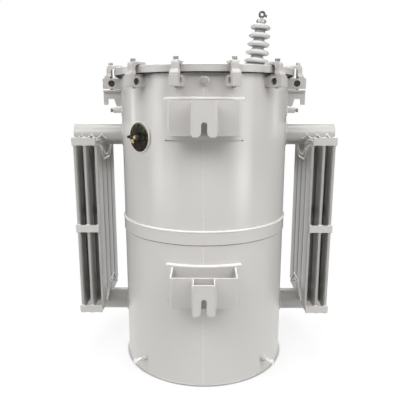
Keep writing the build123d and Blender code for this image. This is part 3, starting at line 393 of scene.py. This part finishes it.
highlit_bracket_enamel = enamel("sprayed satin enamel, painted highlight on upward faces", enamel_deep, enamel_pale,
                        sheet_peel, roughness=0.26)
tree = highlit_bracket_enamel.node_tree
tone = tree.nodes["Principled BSDF"].inputs["Base Color"].links[0].from_socket
# Painted highlight: faces that look up turn near white.
highlighted = add_node(tree, "ShaderNodeMix", {"data_type": "RGBA"}, i0=facing_up(tree, *highlight_turn),
                 i6=tone, i7=linear(highlight_white))
tint(highlit_bracket_enamel, highlighted.outputs[2])
dress(highlit_bracket_enamel, ["upper_pad", "upper_bracket", "upper_hook", "lower_pad", "lower_bracket",
                       "lower_hook"])

# Bracket welds: a heavy bead on each pad's top edge, turned down at its ends and drawn in the paler
# enamel, a painted highlight, and a thin one down each side that ends in a dark foot, a painted
# shadow. Lighter ones hold the folded plate to the pad and the hook to the plate.
pad_half, pad_reach = 0.139, 0.345
pad_levels = ((0.348, 0.4905), (0.954, 1.0965))
pad_turn_down = 0.008
pad_foot, pad_foot_out = (-0.005, 0.004), 0.0015     # from the pad's lower edge, and off the wall
plate_half, plate_face = 0.120, 0.4395
plate_levels = ((0.370, 0.484), (0.976, 1.090))
plate_trim = 0.002                                   # a bead stops this far short of an edge
hook_half = 0.0405
foot_points, plate_points = 8, 40

pad_runs, side_runs, foot_runs, plate_runs, hook_runs = [], [], [], [], []
pad_edge = np.degrees(np.arcsin(pad_half / pad_reach))
plate_back = np.sqrt(pad_reach ** 2 - plate_half ** 2)
for (low, high), (bottom, top) in zip(pad_levels, plate_levels):
    bearings = np.concatenate(([-pad_edge], np.linspace(-pad_edge, pad_edge, run_points),
                               [pad_edge]))
    heights = np.concatenate(([high - pad_turn_down], np.full(run_points, high + proud),
                              [high - pad_turn_down]))
    pad_runs.append((on_tank(bearings, heights, (tank_reach + pad_reach) / 2), False))
    foot_low, foot_high = low + pad_foot[0], low + pad_foot[1]
    for end in (-pad_edge, pad_edge):
        side_runs.append((on_tank(end, np.linspace(foot_high, high, run_points),
                                  tank_reach + proud), False))
        foot_runs.append((on_tank(end, np.linspace(foot_low, foot_high, foot_points),
                                  tank_reach + pad_foot_out), False))
    for side in (-1, 1):
        across, depth = side * (plate_half + proud), -plate_back - proud
        plate_runs.append((np.linspace((across, depth, bottom + plate_trim),
                                       (across, depth, top + proud), plate_points), False))
        across, depth = side * (hook_half + slight), -plate_face - slight
        hook_runs.append((np.linspace((across, depth, bottom + plate_trim),
                                      (across, depth, top - plate_trim), plate_points), False))
weld("weld_pads", pad_runs, radius=0.0063, material=highlight_enamel)
weld("weld_pad_sides", side_runs, radius=0.003)
# painted shadow: dark feet at the pads' lower corners
weld("weld_pad_feet", foot_runs, radius=0.0042, material=shadow_grey)
weld("weld_plates", plate_runs, radius=0.0042)
weld("weld_hooks", hook_runs, radius=0.0032)

# Lifting lugs: a web of thick plate on a curved pad at each side, cut and sprayed as the brackets
# are, with the same painted highlight on faces that look up. A bead runs over each pad, and one
# down each side of the web where it stands on the pad.
lug_pad_half, lug_pad_reach, lug_pad_levels = 0.032, 0.341, (1.032, 1.134)
lug_side, lug_levels, lug_points = 0.0055, (1.071, 1.127), 24


def arch(bearing, half_width, low, high, reach):
    """A run up one side of a block on the tank, along its top and down the other side."""
    swing = np.degrees(np.arcsin(half_width / reach))
    return on_tank(bearing + swing * np.array([-1, -1, 1, 1]), np.array([low, high, high, low]),
                   reach), False


dress(highlit_bracket_enamel, ["lug_pads", "lug_left", "lug_right"])
lug_runs = [arch(bearing, lug_pad_half, *lug_pad_levels, tank_reach + proud)
            for bearing in (-90, 90)]
for side, face in product((-1, 1), (-1, 1)):
    across, depth = side * (lug_pad_reach + slight), face * lug_side
    lug_runs.append((np.linspace((across, depth, lug_levels[0]), (across, depth, lug_levels[1]),
                                 lug_points), False))
weld("weld_lugs", lug_runs, radius=0.0026)

# Radiators: on each side two header pipes, three fluted panels pressed from thin sheet and six
# flat tie bars. The pipes are sprayed a shade greyer than the tank. The panels are flow-coated,
# which leaves a thinner, greyer coat still, and the bars are sprayed and stand out pale.
loose_enamel = enamel("sprayed satin enamel on lid and pipes", "#bfbdba", "#c3c1be", sheet_peel,
                      roughness=0.28)
flow_enamel = enamel("flow-coated enamel on radiators", "#a8a6a3", "#adaba8", peel_height=0.00003,
                     roughness=0.28)
tie_enamel = enamel("sprayed satin enamel on tie bars", "#c3c1be", "#c7c5c2", sheet_peel,
                    roughness=0.28)
dress(loose_enamel, ["header_upper_left", "header_upper_right", "header_lower_left",
                     "header_lower_right"])
dress(flow_enamel, ["panel_left_1", "panel_left_2", "panel_left_3", "panel_right_1",
                    "panel_right_2", "panel_right_3"])
dress(tie_enamel, ["ties_left", "ties_right"])

# Radiator welds: a bead where each header enters the tank, one in the saddle where a panel sits on
# its header, one along each panel's ends and a short tack where a tie bar crosses a panel. The ribs
# pressed round the panels' mouths stand out too, and are drawn in the paler enamel, a painted
# highlight.
header_radius, header_points = 0.04445, 120
header_heights = (0.2215, 0.9565)
panel_places, panel_levels, panel_front = (0.4205, 0.464, 0.5025), (0.239, 0.939), 0.168
saddle_edges = (0.3975, 0.4425, 0.4835, 0.5225)
saddle_peak, saddle_foot = 3.0, -24.0        # degrees above and below the header's front line
saddle_climb, saddle_fall = 2.0, 0.5         # powers of the way gone from a foot or a peak
saddle_points = 200
end_weld, end_points = (0.062, 0.167), 40    # from the header's side to the panel's edge
rib_offset = 0.0068
tie_ends = (0.4215, 0.5110)
tie_levels = (0.231, 0.26, 0.5745, 0.6035, 0.922, 0.951)
tack_half, tack_bow, tack_points = 0.011, 0.0015, 9
press_rows = (
    # half width at the panel's end and at the foot, and the distance of each from that end
    (0.118, 0.052, 0.021, 0.083), (0.092, 0.026, 0.030, 0.066))

turn = np.linspace(0, 2 * np.pi, header_points, endpoint=False)
bead_reach = header_radius + proud
across, rise = bead_reach * np.cos(turn), bead_reach * np.sin(turn)
inward = np.sqrt((tank_reach + proud) ** 2 - across ** 2)
weld("weld_headers", [(np.column_stack((side * inward, across, height + rise)), True)
                      for side, height in product((-1, 1), header_heights)], radius=0.0055)

knots = np.sort(np.array(saddle_edges + panel_places))
levels = np.where(np.arange(len(knots)) % 2 == 1, saddle_peak, saddle_foot)
stretch = np.linspace(knots[0], knots[-1], saddle_points)
after = np.searchsorted(knots, stretch, side="right").clip(1, len(knots) - 1)
span = (stretch - knots[after - 1]) / (knots[after] - knots[after - 1])
span = span ** np.where(after % 2 == 1, saddle_climb, saddle_fall)
wave = np.radians(levels[after - 1] + (levels[after] - levels[after - 1]) * span)
saddles = []
for side, (height, flip), front in product((-1, 1), zip(header_heights, (-1, 1)), (-1, 1)):
    saddles.append((np.column_stack((side * stretch, front * bead_reach * np.cos(wave * flip),
                                     height + bead_reach * np.sin(wave * flip))), False))
weld("weld_saddles", saddles, radius=0.0042)

ends = []
for side, place, level, end in product((-1, 1), panel_places, panel_levels, (-1, 1)):
    ends.append((np.linspace((side * place, end * end_weld[0], level),
                             (side * place, end * end_weld[1], level), end_points), False))
weld("weld_panel_ends", ends, radius=0.0026)

ribs = []
outer_faces = ((panel_places[0], -1), (panel_places[-1], 1))     # the only ones that show ribs
for side, (place, face), (level, up), (half_top, half_foot, top, foot) in product(
        (-1, 1), outer_faces, zip(panel_levels, (1, -1)), press_rows):
    across, high, low = side * (place + face * rib_offset), level + up * top, level + up * foot
    ribs.append((np.array([(across, -half_top, high), (across, -half_foot, low),
                           (across, half_foot, low), (across, half_top, high)]), False))
weld("press_marks", ribs, radius=0.0040, material=highlight_enamel)

tacks = []
for side, end, level, place in product((-1, 1), (-1, 1), tie_levels, panel_places):
    tack = np.linspace(max(place - tack_half, tie_ends[0]), min(place + tack_half, tie_ends[1]),
                       tack_points)
    bow = tack_bow * np.cos((tack - place) / tack_half * np.pi / 2)
    tacks.append((np.column_stack((side * tack, end * (panel_front + bow),
                                   np.full(tack_points, level))), False))
weld("weld_ties", tacks, radius=0.0034)

# Bosses and filler plug: turned steel bosses welded to the tank and sprayed with it. The plug is
# galvanised and thinly sprayed, so it is greyer than its boss. The side bosses' bolts stay bare and
# dark, and the earth bolts low down were sprayed over and are drawn nearly white, paler than the
# tank, a painted highlight.
coarse_peel = 0.00025
bare_zinc, sprayed_highlit_zinc = "#8f8f8c", "#f6f5f2"
bare_above = 0.5         # height from which the bolts are bare
halo_points = 90
boss_rows = (
    # bearing, height, the bead's own radius about the boss, reach of the face that it lies on
    (-45, 0.068, 0.012, tank_reach), (45, 0.068, 0.012, tank_reach),
    (-90, 1.053, 0.0115, lug_pad_reach), (90, 1.053, 0.0115, lug_pad_reach),
    (0, 1.156, 0.016, tank_reach))


def halo(bearing, height, radius, reach):
    """A closed round run on the tank about a bearing and height."""
    turn = np.linspace(0, 2 * np.pi, halo_points, endpoint=False)
    swing = np.degrees(np.arcsin(radius * np.cos(turn) / reach))
    return on_tank(bearing + swing, height + radius * np.sin(turn), reach), True


dress(tank_enamel, ["filler_boss", "bosses"])
plug_enamel = enamel("thin enamel on a galvanised plug", "#9b9996", "#a3a19e", coarse_peel,
                     roughness=0.34)
dress(plug_enamel, ["filler_plug"])
boss_finish = plain("zinc plate, sprayed over at the base", bare_zinc, metallic=1.0, roughness=0.4,
                    grain_size=0.004, grain_height=0.00005)
tree = boss_finish.node_tree
level = add_node(tree, "ShaderNodeSeparateXYZ",
                 i0=add_node(tree, "ShaderNodeTexCoord").outputs["Object"])
bare = add_node(tree, "ShaderNodeMath", {"operation": "GREATER_THAN"}, i0=level.outputs["Z"],
                i1=bare_above)
# Painted highlight: below bare_above the bolts are drawn near white.
shade = add_node(tree, "ShaderNodeMix", {"data_type": "RGBA"}, i0=bare.outputs[0],
                 i6=linear(sprayed_highlit_zinc), i7=linear(bare_zinc))
tint(boss_finish, shade.outputs[2])
tree.links.new(bare.outputs[0], tree.nodes["Principled BSDF"].inputs["Metallic"])
dress(boss_finish, ["boss_bolts"])
weld("weld_fittings", [halo(bearing, height, radius, reach + slight)
                       for bearing, height, radius, reach in boss_rows], radius=0.0022)

# Core and coils, inside the tank: loops of silicon-steel strip, which shine softly, coils and leads
# wrapped in matt brown kraft paper, and a welded steel frame sprayed as the tank is.
strip = plain("wound core strip", "#5c5f66", metallic=1.0, roughness=0.4, grain_size=0.001,
              grain_height=0.00005)
kraft = plain("kraft paper wrap", "#b08a58", metallic=0.0, roughness=0.75, grain_size=0.003,
              grain_height=0.0002)
dress(strip, ["core"])
dress(kraft, ["lv_coil", "hv_coil", "winding_leads"])
dress(tank_enamel, ["core_frame"])

# Low-voltage bushings: three glazed porcelain bushings on the side away from the pole, whose clean
# glaze mirrors the room, with flat four-hole spades and nuts of bronze, tinned to a soft pale grey.
glaze = plain("sky-grey porcelain glaze", "#c9cacb", metallic=0.0, roughness=0.12, grain_size=0.02,
              grain_height=0.00005)
tinned = plain("tinned bronze", "#b4b3af", metallic=1.0, roughness=0.42, grain_size=0.004,
               grain_height=0.00005)
dress(glaze, ["lv_bushings"])
dress(tinned, ["lv_spades", "lv_nuts"])

# Tap changer: a phenolic dial in a welded collar, with a glossy black moulded grip on a spindle of
# bright brass and a nut of aged brass. The dial is blotted dark, brown below and olive above, in a
# pale ring of cream sealant. Its middle is painted black, a painted shadow of the grip, and its
# upper rim is drawn pale, with dust and a painted highlight.
port_bearing, port_height = np.radians(-45), 0.959
port_out = np.array([np.sin(port_bearing), -np.cos(port_bearing), 0])
port_side = np.array([np.cos(port_bearing), np.sin(port_bearing), 0])
rim_reach, rim_radius, rim_points = 0.3385, 0.0566, 160
dial_reach = 0.3445
shadow_and_blot_black, lower_brown, upper_olive, dust_and_highlight = "#0c0a08", "#3a2925", "#423f31", "#96958a"
shadow_radius, shadow_fade_radius = 0.018, 0.042
tone_half = 0.020         # the tone turns from brown to olive over this much below and above
blot_size, blot_edge = 0.009, (0.42, 0.58)
dust_and_highlight_turn = (0.1, 0.6)   # how far up a face looks, from none to all of the pale dust and painted highlight
dial_gloss = 0.2         # grease dulls the dial's shine


def on_port(across, rise, reach):
    """Points at offsets across and up the port's face, at a distance from the tank's axis."""
    return (np.asarray(across)[:, None] * port_side + np.asarray(rise)[:, None] * [0, 0, 1]
            + np.asarray(reach)[:, None] * port_out + [0, 0, port_height])


dress(tank_enamel, ["tap_collar"])
moulding = plain("black phenolic moulding", "#141413", metallic=0.0, roughness=0.25,
                 grain_size=0.004, grain_height=0.00005)
dress(moulding, ["tap_grip", "tap_lock_knob", "tap_switch"])
brass = plain("turned brass", "#ecdba6", metallic=1.0, roughness=0.42, grain_size=0.002,
              grain_height=0.00003)
dress(brass, ["tap_spindle", "tap_lock_screw"])
aged_brass = plain("aged brass", "#b8a070", metallic=1.0, roughness=0.4, grain_size=0.002,
                   grain_height=0.00005)
dress(aged_brass, ["tap_nut"])

dial_moulding = plain("olive phenolic dial", shadow_and_blot_black, metallic=0.0, roughness=0.6,
                      grain_size=0.003, grain_height=0.0001)
tree = dial_moulding.node_tree
place = add_node(tree, "ShaderNodeTexCoord").outputs["Object"]
# Painted shadow: the dial turns black towards its middle, the grip's shade.
hub = add_node(tree, "ShaderNodeVectorMath", {"operation": "DISTANCE"}, i0=place,
               i1=tuple(port_out * dial_reach + [0, 0, port_height]))
unshadowed = add_node(tree, "ShaderNodeMapRange", {"interpolation_type": "SMOOTHSTEP"},
                   Value=hub.outputs["Value"], From_Min=shadow_radius, From_Max=shadow_fade_radius)
level = add_node(tree, "ShaderNodeSeparateXYZ", i0=place)
aged = add_node(tree, "ShaderNodeMapRange", Value=level.outputs["Z"],
                From_Min=port_height - tone_half, From_Max=port_height + tone_half)
aged = add_node(tree, "ShaderNodeMix", {"data_type": "RGBA"}, i0=aged.outputs[0],
                i6=linear(lower_brown), i7=linear(upper_olive))
blots = add_node(tree, "ShaderNodeTexNoise", Vector=place, Scale=1 / blot_size, Detail=2.0)
blots = add_node(tree, "ShaderNodeMapRange", {"interpolation_type": "SMOOTHSTEP"},
                 Value=blots.outputs["Fac"], From_Min=blot_edge[0], From_Max=blot_edge[1])
blotted = add_node(tree, "ShaderNodeMath", {"operation": "MULTIPLY"}, i0=unshadowed.outputs[0],
                   i1=blots.outputs[0])
shadow_and_blots = add_node(tree, "ShaderNodeMix", {"data_type": "RGBA"}, i0=blotted.outputs[0],
                i6=linear(shadow_and_blot_black), i7=aged.outputs[2])
# Dust and painted highlight: faces on the rim that look up turn pale.
painted_light_tint = add_node(tree, "ShaderNodeMix", {"data_type": "RGBA"}, i0=facing_up(tree, *dust_and_highlight_turn),
                  i6=shadow_and_blots.outputs[2], i7=linear(dust_and_highlight))
tint(dial_moulding, painted_light_tint.outputs[2])
tree.nodes["Principled BSDF"].inputs["Specular IOR Level"].default_value = dial_gloss
dress(dial_moulding, ["tap_dial"])

sealant = plain("cream joint sealant", "#ece5d8", metallic=0.0, roughness=0.5, grain_size=0.004,
                grain_height=0.0002)
turn = np.linspace(0, 2 * np.pi, rim_points, endpoint=False)
rim = on_port(rim_radius * np.cos(turn), rim_radius * np.sin(turn), np.full(rim_points, rim_reach))
weld("port_rim", [(rim, True)], radius=0.0024, material=sealant)

# Dial pins: small moulded pins and screw heads that dot the dial's face, of the grip's black
# phenolic. They stand just proud of the dial, and their edge is broken.
pin_rows = np.array((
    # across, up, radius
    (-0.022, 0.032, 0.0026), (-0.016, 0.019, 0.0022), (0.005, 0.022, 0.0026),
    (-0.001, -0.026, 0.0026), (0.022, -0.030, 0.0022), (-0.018, -0.034, 0.0022)))
pin_sides = 16
pin_shares = np.array([1.0, 1.0, 0.8])              # of the radius, at the foot, edge and top
pin_rise = np.array([-0.0005, 0.0001, 0.0002])      # of the same three, from the dial's face

# Three rings for each pin, foot first: its centre plus its radius times cosine and sine.
turn = np.linspace(0, 2 * np.pi, pin_sides, endpoint=False)
spread = pin_rows[:, 2, None, None] * pin_shares[None, :, None]
across = pin_rows[:, 0, None, None] + spread * np.cos(turn)
rise = pin_rows[:, 1, None, None] + spread * np.sin(turn)
reach = dial_reach + pin_rise[None, :, None] + np.zeros_like(across)
first = np.arange(len(pin_rows))[:, None] * len(pin_shares) * pin_sides
col = np.arange(pin_sides)
right = (col + 1) % pin_sides
low = (first + [0, pin_sides])[:, :, None]
sides = np.stack((low + col, low + right, low + pin_sides + right, low + pin_sides + col), -1)
faces = (sides.reshape(-1, 4).tolist() + (first + 2 * pin_sides + col).tolist()
         + (first + col[::-1]).tolist())
mesh = bpy.data.meshes.new("dial_pins")
mesh.from_pydata(on_port(across.ravel(), rise.ravel(), reach.ravel()).tolist(), [], faces)
mesh.materials.append(moulding)
dial_pins = bpy.data.objects.new("dial_pins", mesh)
bpy.context.scene.collection.objects.link(dial_pins)
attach(dial_pins, "transformer")

# Index tab: a small plate of bright brass, cut askew at one corner. It is fixed to the grip, turns
# with it and points at the position in use.
tab_left, tab_right, tab_low, tab_high = -0.039, -0.026, -0.024, -0.0095
tab_skew = 0.003
tab_reach = (0.3448, 0.3472)     # of its back and its front

across = [tab_left, tab_right, tab_right, tab_left] * 2
rise = [tab_low + tab_skew, tab_low, tab_high, tab_high] * 2
corners = on_port(across, rise, np.repeat(tab_reach, 4))
mesh = bpy.data.meshes.new("index_tab")
mesh.from_pydata(corners.tolist(), [], [(3, 2, 1, 0), (4, 5, 6, 7), (0, 1, 5, 4), (1, 2, 6, 5),
                                        (2, 3, 7, 6), (3, 0, 4, 7)])
mesh.materials.append(brass)
index_tab = bpy.data.objects.new("index_tab", mesh)
bpy.context.scene.collection.objects.link(index_tab)
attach(index_tab, "tap_handle")

# Lid: dished steel with a turned-down skirt, sprayed with the pipes, on a dark, matt gasket of
# nitrile cork. A black bead in the gap between skirt and flange is painted shadow: it draws the
# dark line of shade under the rim.
skirt_gap_reach, skirt_gap_height = 0.3545, 1.1853

dress(loose_enamel, ["lid"])
cork = plain("nitrile cork sheet", "#2b2723", metallic=0.0, roughness=0.8, grain_size=0.002,
             grain_height=0.0002)
dress(cork, ["lid_gasket", "hv_gasket"])
shadow_black = plain("black bead, a painted shadow under the rim", "#2b2a28", metallic=0.0, roughness=0.6,
                      grain_size=0.004, grain_height=0.0002)
weld("skirt_shadow_line", [hoop(skirt_gap_height, skirt_gap_reach)], radius=0.0026,
     material=shadow_black)

# High-voltage bushing: wet-process porcelain under a sky-grey glaze, glossy on the sheds and
# painted a darker grey on the necks between them, a painted shade. The cap and rod are tinned
# bronze, and the eye and its screw have weathered dark. A ring and screws, plated with dull zinc,
# hold it under the lid.
glaze_grey, neck_shade_grey = "#c4c4c3", "#8e8d8b"
bushing_foot = (0.2095, 0.0, 1.233)
bushing_lean = (0.10453, 0.0, 0.99452)    # sine and cosine of 6 degrees
neck_reach, shed_reach = 0.026, 0.036     # from the bushing's axis: painted shade within, plain glaze beyond

neck_shaded_glaze = plain("sky-grey glaze, painted shade on the necks", glaze_grey, metallic=0.0,
                    roughness=0.16, grain_size=0.02, grain_height=0.00005)
tree = neck_shaded_glaze.node_tree
from_foot = add_node(tree, "ShaderNodeVectorMath", {"operation": "SUBTRACT"},
                     i0=add_node(tree, "ShaderNodeTexCoord").outputs["Object"], i1=bushing_foot)
from_axis = add_node(tree, "ShaderNodeVectorMath", {"operation": "CROSS_PRODUCT"},
                     i0=from_foot.outputs[0], i1=bushing_lean)
from_axis = add_node(tree, "ShaderNodeVectorMath", {"operation": "LENGTH"}, i0=from_axis.outputs[0])
# Painted shade: the glaze turns darker grey on the necks, close to the axis.
clean = add_node(tree, "ShaderNodeMapRange", {"interpolation_type": "SMOOTHSTEP"},
                 Value=from_axis.outputs["Value"], From_Min=neck_reach, From_Max=shed_reach)
painted_light_tint = add_node(tree, "ShaderNodeMix", {"data_type": "RGBA"}, i0=clean.outputs[0],
                  i6=linear(neck_shade_grey), i7=linear(glaze_grey))
tint(neck_shaded_glaze, painted_light_tint.outputs[2])
dress(neck_shaded_glaze, ["hv_porcelain"])
dress(tinned, ["hv_cap", "hv_rod"])
weathered = plain("weathered tinned bronze", "#6c6b68", metallic=1.0, roughness=0.45,
                  grain_size=0.004, grain_height=0.00005)
dress(weathered, ["hv_eye", "hv_screw"])
zinc = plain("dull zinc plate", "#a3a3a0", metallic=1.0, roughness=0.45, grain_size=0.004,
             grain_height=0.00005)
dress(zinc, ["hv_ring", "hv_ring_screws"])

# Lid clamps: cast-iron blocks, welded to the tank, and cast jaws, under the tank's enamel with a
# coarser skin. The bolts are plated with dull zinc, and the barrel nuts are bare steel gone dark,
# which makes the cross holes read as dark rounds.
clamp_bearings = (-75, -41.5, -14.5, 15.5, 43, 75, 105, 135, 165, -165, -135, -105)
clamp_half, clamp_levels = 0.0165, (1.139, 1.175)

cast_enamel = enamel("sprayed satin enamel on castings", "#bebbb8", "#c3c0bd", coarse_peel,
                     roughness=0.42)
dress(cast_enamel, ["clamp_blocks", "clamp_jaws"])
dress(zinc, ["clamp_bolts"])
dull_steel = plain("unpainted steel gone dull", "#5a5957", metallic=1.0, roughness=0.5,
                   grain_size=0.003, grain_height=0.0001)
dress(dull_steel, ["clamp_barrels"])
weld("weld_clamps", [arch(bearing, clamp_half, *clamp_levels, tank_reach + proud)
                     for bearing in clamp_bearings], radius=0.0028)
